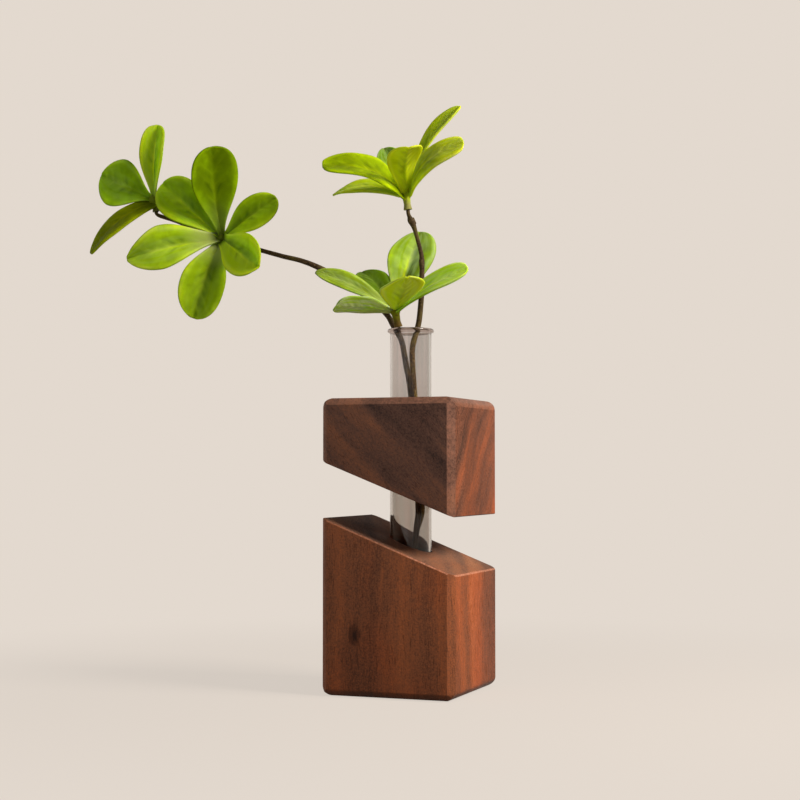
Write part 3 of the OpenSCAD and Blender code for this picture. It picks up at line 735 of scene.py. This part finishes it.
def leaf_plastic(name, upper):
    material, tree, shader = new_material(name)
    uv = add_node(tree, "ShaderNodeUVMap", uv_map="UVMap").outputs["UV"]
    parts = add_node(tree, "ShaderNodeSeparateXYZ", {0: uv})
    along, across = parts.outputs["X"], parts.outputs["Y"]
    aside = math_node(tree, "MULTIPLY", math_node(tree, "ABSOLUTE", math_node(
        tree, "SUBTRACT", across, 0.5)), 2.0)
    side = ramp(tree, across, [(0.16, 0.30), (0.40, 0.0), (0.55, 1.0), (0.86, 0.60)])
    place = piece_place(tree)
    cloud = mottle(tree, place, 130.0, detail=3.0)
    grit = mottle(tree, place, 1400.0)
    leaf_tones = {tone_name: add_node(tree, "ShaderNodeAttribute", attribute_name=tone_name).outputs["Fac"]
            for tone_name in LEAF_TONES}

    tone = varied(tree, leaf_tones["lightness"], cloud, 0.65)
    # One half of the blade is painted lighter and the other darker, strongest near the midrib:
    # painted light and shade across the fold.
    fading = ramp(tree, along, [(0.35, 1.0), (0.95, 0.30)])
    tone = math_node(tree, "ADD", tone, math_node(tree, "MULTIPLY", math_node(
        tree, "MULTIPLY", math_node(tree, "SUBTRACT", side, 0.5), fading), leaf_tones["fold_light"]))
    # Lighter away from the midrib: painted light on the cushioned blade.
    tone = varied(tree, tone, aside, 0.22, centre=0.55)
    colour = mix_colour(tree, leaf_tones["yellowness"], ramp(tree, tone, GREENS, "LINEAR"),
                        ramp(tree, tone, GOLDS, "LINEAR"))
    # Pale milky streaks: partly the plastic's own milkiness, partly a painted whitish sheen.
    milk_sheen_place = add_node(tree, "ShaderNodeMapping", {"Vector": uv, "Scale": (2.2, 7.0, 1.0)})
    milk_sheen_streaks = ramp(tree, mottle(tree, milk_sheen_place.outputs[0], 1.0), [(0.36, 0.25), (0.62, 1.6)])
    colour = mix_colour(tree, math_node(tree, "MULTIPLY", milk_sheen_streaks, leaf_tones["milk_and_sheen"]), colour,
                        MILK_AND_SHEEN_SHADE)

    wander = math_node(tree, "MULTIPLY", math_node(tree, "SUBTRACT", cloud, 0.5), 0.16)
    vein_place = math_node(tree, "ADD", math_node(tree, "SUBTRACT", along, math_node(
        tree, "MULTIPLY", aside, 0.28)), wander)
    vein_wave = math_node(tree, "PINGPONG", math_node(tree, "MULTIPLY", vein_place, 6.0), 0.5)
    vein = math_node(tree, "MULTIPLY", ramp(tree, vein_wave, [(0.0, 1.0), (0.26, 0.0)]),
                     ramp(tree, aside, [(0.0, 1.0), (0.80, 0.0)]))
    colour = tinted(tree, math_node(tree, "MULTIPLY", vein, 0.22), colour, VEIN_TINT)
    # Darker between the side veins near the midrib: painted shade in the puckers.
    pucker_shade = math_node(tree, "MULTIPLY", ramp(tree, vein_wave, [(0.26, 0.0), (0.46, 0.6)]),
                       ramp(tree, aside, [(0.05, 0.0), (0.18, 1.0), (0.55, 0.0)]))
    pucker_shade = math_node(tree, "MULTIPLY", pucker_shade,
                       ramp(tree, along, [(0.28, 0.0), (0.42, 1.0), (0.76, 0.0)]))
    colour = tinted(tree, pucker_shade, colour, PUCKER_PAINTED_SHADE)
    midrib = ramp(tree, math_node(tree, "ADD", aside, math_node(tree, "MULTIPLY", wander, 1.2)),
                  [(0.0, 1.0), (0.20, 0.0)])
    midrib = math_node(tree, "MULTIPLY", midrib, ramp(tree, along, [(0.45, 1.0), (0.9, 0.0)]))
    colour = tinted(tree, math_node(tree, "MULTIPLY", midrib, 0.5), colour,
                    UPPER_MIDRIB_TINT if upper else UNDER_MIDRIB_TINT)

    pale_foot = math_node(tree, "MULTIPLY", ramp(tree, along, [(0.06, 1.0), (0.42, 0.0)]),
                          leaf_tones["paleness"])
    colour = mix_colour(tree, pale_foot, colour, PALE_FOOT_SHADE)
    # The foot of each blade is darkened: painted shade in the heart of the rosette, strongest in
    # the left one.
    root_shade_share = math_node(tree, "MULTIPLY", ramp(tree, along, [(0.0, 1.0), (0.13, 0.0)]),
                          leaf_tones["root_shade"])
    colour = mix_colour(tree, root_shade_share, colour, ROOT_PAINTED_SHADE)
    # A paler band just inside the edge is a painted highlight on the rolled rim; the very edge
    # gets painted shade on green leaves and a paler painted edge on yellow ones.
    rim_highlight = ramp(tree, aside, [(0.70, 0.0), (0.86, 0.8), (0.93, 0.8), (0.99, 0.0)])
    colour = tinted(tree, rim_highlight, colour, RIM_HIGHLIGHT_TINT)
    edge_light_tint = mix_colour(tree, ramp(tree, leaf_tones["yellowness"], [(0.45, 0.0), (0.75, 1.0)]),
                           GREEN_EDGE_PAINTED_SHADE, GOLD_EDGE_PAINTED_LIGHT)
    colour = tinted(tree, ramp(tree, aside, [(0.93, 0.0), (1.0, 0.8)]), colour, edge_light_tint)

    set_inputs(tree, shader, {
        "Base Color": colour, "Roughness": rescaled(tree, cloud, 0.0, 1.0, 0.42, 0.58),
        "Specular IOR Level": 0.02, "Subsurface Weight": 0.80,
        "Subsurface Radius": (0.0030, 0.0036, 0.0006), "Subsurface Scale": 1.0})
    relief = math_node(tree, "SUBTRACT", math_node(tree, "MULTIPLY", grit, 0.08), vein)
    emboss(tree, shader, relief, strength=0.28, distance=0.0002 if upper else -0.0002)
    return material


leaf_top = leaf_plastic("leaf_upper_face", True)
leaf_back = leaf_plastic("leaf_underside", False)


def leaf(name, crown, row, root_shade_share, seed):
    turn, lean, length, width, arch, roll, cup, twist, widest, blunt, foot, *leaf_tones = row
    blade = length * LEAF_LENGTH - CAD_FOOT
    half = width * LEAF_WIDTH / 2
    shell = bmesh.new()
    shell.loops.layers.uv.new("UVMap")
    bmesh.ops.create_grid(shell, x_segments=STEPS_ALONG, y_segments=STEPS_ACROSS, size=1.0,
                          calc_uvs=True)
    for vert in shell.verts:
        t = (vert.co.x + 1) / 2
        s = vert.co.y
        t = 1 - (1 - t) ** TIP_CROWDING
        w = half * outline_width(t, widest, blunt, foot)
        lift = w * math.tan(math.radians(cup)) * abs(s) ** CUP_CURVE
        groove = -GROOVE_DEPTH * math.exp(-(s / GROOVE_WIDTH) ** 2) * min(1, 4 * t) * (1 - t)
        quilt = (QUILT_HEIGHT * math.cos(2 * math.pi * SIDE_VEINS * (t - VEIN_SLANT * abs(s)))
                 * (1 - abs(s)) * t)
        roll_over = -RIM_DROP * max(0.0, abs(s) - RIM_START) / RIM_WIDTH * min(1.0, w / half)
        wave = (WAVE_HEIGHT * noise.noise(Vector((t * WAVES_ALONG, s * WAVES_ACROSS, seed)))
                * (MIDDLE_WAVE_SHARE + abs(s)) * t)
        across, up = s * w, lift + groove + quilt + roll_over + wave
        spin = math.radians(twist) * (t - 0.5)
        x = LEAF_FOOT + t * (blade + CAD_FOOT - LEAF_FOOT)
        cad_t = max(0.0, (x - CAD_FOOT) / blade)
        rise = arch * blade * 4 * cad_t * (1 - cad_t)
        vert.co = (x, across * math.cos(spin) - up * math.sin(spin),
                   rise + across * math.sin(spin) + up * math.cos(spin))
    place = (SPRAY_TURN @ Matrix.Translation(crown) @ Matrix.Rotation(math.radians(-turn), 4, "Y")
             @ Matrix.Rotation(math.radians(-lean), 4, "Z")
             @ Matrix.Rotation(math.radians(roll), 4, "X"))
    bmesh.ops.transform(shell, matrix=place, verts=shell.verts)
    made = new_object(name, shell)
    for tone_name, amount in zip(LEAF_TONES, (*leaf_tones, root_shade_share)):
        values = made.data.attributes.new(tone_name, "FLOAT", "POINT").data
        values.foreach_set("value", [amount] * len(values))
    made.data.materials.append(leaf_top)
    made.data.materials.append(leaf_back)
    body = made.modifiers.new("body", "SOLIDIFY")
    body.thickness = LEAF_THICKNESS
    body.offset = 0.0
    body.material_offset = 1
    body.material_offset_rim = 0
    rounding = made.modifiers.new("rounding", "SUBSURF")
    rounding.levels = rounding.render_levels = 1
    return made


for rosette, rows in LEAF_ROWS.items():
    for number, row in enumerate(rows, 1):
        cad_leaf = f"{rosette}_leaf_{number}"
        blade = leaf(cad_leaf + "_blade", CROWNS[rosette], row, ROOT_PAINTED_SHADE_SHARES[rosette],
                     seed=number * SEED_STEP)
        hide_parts(cad_leaf)
        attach(blade, "spray")


# Studio: the vase stands on a pale beige floor that runs into a plain beige backdrop. One
# large soft lamp stands high on the right, a weaker one low on the left of the camera, and
# a dim white surround fills the shadows. The floor keeps a soft shadow near the vase.
BEIGE = (0.768, 0.694, 0.623)
WHITE = (1, 1, 1)
FLOOR_RADIUS = 4.0
FLOOR_DROP = 0.0002
SHADOW_SHARE = 0.17
FLOOR_BOUNCE = (0.34, 0.30, 0.26, 1.0)
SURROUND = 0.11
LAMP_TARGET = (0, 0, 0.13)


def seen_directly(tree):
    rays = add_node(tree, "ShaderNodeLightPath")
    return math_node(tree, "MINIMUM", math_node(tree, "ADD", math_node(
        tree, "ADD", rays.outputs["Is Camera Ray"], rays.outputs["Is Glossy Ray"]),
        rays.outputs["Is Transmission Ray"]), 1.0)


def beige_floor():
    material = bpy.data.materials.new("beige_floor")
    tree = empty_tree(material)
    from_vase = add_node(tree, "ShaderNodeVectorMath", {0: piece_place(tree)},
                         operation="LENGTH").outputs["Value"]
    near = ramp(tree, from_vase, [(0.10, SHADOW_SHARE), (0.42, 0.0)])
    painted = add_node(tree, "ShaderNodeBsdfDiffuse", {"Color": mix_colour(
        tree, near, (0.0, 0.0, 0.0), BEIGE)})
    glowing = add_node(tree, "ShaderNodeEmission", {
        "Color": (*BEIGE, 1.0), "Strength": math_node(tree, "SUBTRACT", 1.0, near)})
    plain = add_node(tree, "ShaderNodeAddShader", {0: painted.outputs[0], 1: glowing.outputs[0]})
    bounce = add_node(tree, "ShaderNodeBsdfDiffuse", {"Color": FLOOR_BOUNCE})
    shown = add_node(tree, "ShaderNodeMixShader", {0: seen_directly(tree), 1: bounce.outputs[0],
                     2: plain.outputs[0]})
    add_node(tree, "ShaderNodeOutputMaterial", {"Surface": shown.outputs[0]})
    return material


floor_shell = bmesh.new()
bmesh.ops.create_circle(floor_shell, cap_ends=True, radius=FLOOR_RADIUS, segments=96)
bmesh.ops.translate(floor_shell, vec=(0, 0, -FLOOR_DROP), verts=floor_shell.verts)
floor = new_object("floor", floor_shell, smooth=False)
floor.data.materials.append(beige_floor())

world = bpy.data.worlds.new("studio")
world_tree = empty_tree(world)
surround = add_node(world_tree, "ShaderNodeBackground", {"Color": (*WHITE, 1),
                    "Strength": SURROUND})
backdrop = add_node(world_tree, "ShaderNodeBackground", {"Color": (*BEIGE, 1.0),
                    "Strength": 1.0})
either = add_node(world_tree, "ShaderNodeMixShader", {
    0: seen_directly(world_tree), 1: surround.outputs[0], 2: backdrop.outputs[0]})
add_node(world_tree, "ShaderNodeOutputWorld", {"Surface": either.outputs[0]})
scene.world = world


def softbox(name, place, size, watts, colour=WHITE):
    lamp_data = bpy.data.lights.new(name, "AREA")
    lamp_data.size = size
    lamp_data.energy = watts
    lamp_data.color = colour
    lamp = bpy.data.objects.new(name, lamp_data)
    lamp.location = place
    lamp.rotation_euler = (Vector(LAMP_TARGET) - Vector(place)).to_track_quat(
        "-Z", "Y").to_euler()
    scene.collection.objects.link(lamp)


softbox("key_softbox", place=(0.66, -0.08, 0.60), size=0.30, watts=8.6,
        colour=(1.0, 0.93, 0.86))
softbox("fill_softbox", place=(-0.45, -0.90, 0.10), size=1.20, watts=3.2)
